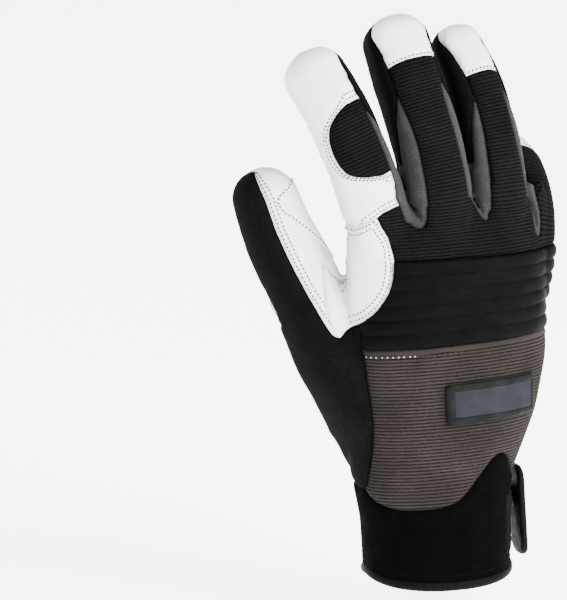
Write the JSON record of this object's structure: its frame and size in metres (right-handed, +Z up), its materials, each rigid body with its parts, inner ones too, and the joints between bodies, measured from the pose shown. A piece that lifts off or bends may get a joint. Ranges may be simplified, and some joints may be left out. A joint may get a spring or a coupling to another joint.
{
  "type": "winter work glove",
  "caption": "Right-hand lined winter work glove: white leather palm, thumb and fingertips, black ribbed back with a padded knuckle guard, grey hand panel and a neoprene strap cuff.",
  "frame": {"origin": "centre of the wrist mouth, level with the hem at the sides of the cuff", "axes": "+Z up the hand from the wrist to the fingertips, -Y out of the back of the hand, -X towards the thumb"},
  "size_m": [0.1455, 0.0753, 0.2658],
  "materials": {
    "white_leather": "fine-grained white goatskin, matt with a slight sheen",
    "black_rib": "ribbed black stretch cloth",
    "black_fleece": "black brushed stretch knit",
    "grey_suede": "mid grey microfibre suede",
    "padded_cloth": "smooth black laminated cloth over foam",
    "grey_rib": "warm grey ribbed stretch cloth",
    "grey_rubber": "moulded dark grey rubber, satin",
    "neoprene": "black knit-faced neoprene",
    "binding_tape": "black woven satin tape",
    "black_rubber": "moulded black rubber, satin"
  },
  "bodies": {
    "root": {"palm_leather": "white_leather", "thumb_patch": "white_leather", "web_patch": "white_leather", "middle_cap": "white_leather", "ring_cap": "white_leather", "pinky_cap": "white_leather", "index_knuckle_oval": "black_rib", "back_panel": "black_rib", "edge_panel": "black_fleece", "gusset_index_middle": "grey_suede", "fourchette_index_middle": "black_fleece", "gusset_middle_ring": "grey_suede", "fourchette_middle_ring": "black_fleece", "gusset_ring_pinky": "grey_suede", "fourchette_ring_pinky": "black_fleece", "knuckle_guard": "padded_cloth", "grey_panel": "grey_rib", "plate": "grey_rubber", "cuff": "neoprene", "hem_binding": "binding_tape", "strap": "neoprene", "strap_tab": "black_rubber", "pull_strip": "white_leather"}
  },
  "joints": []
}
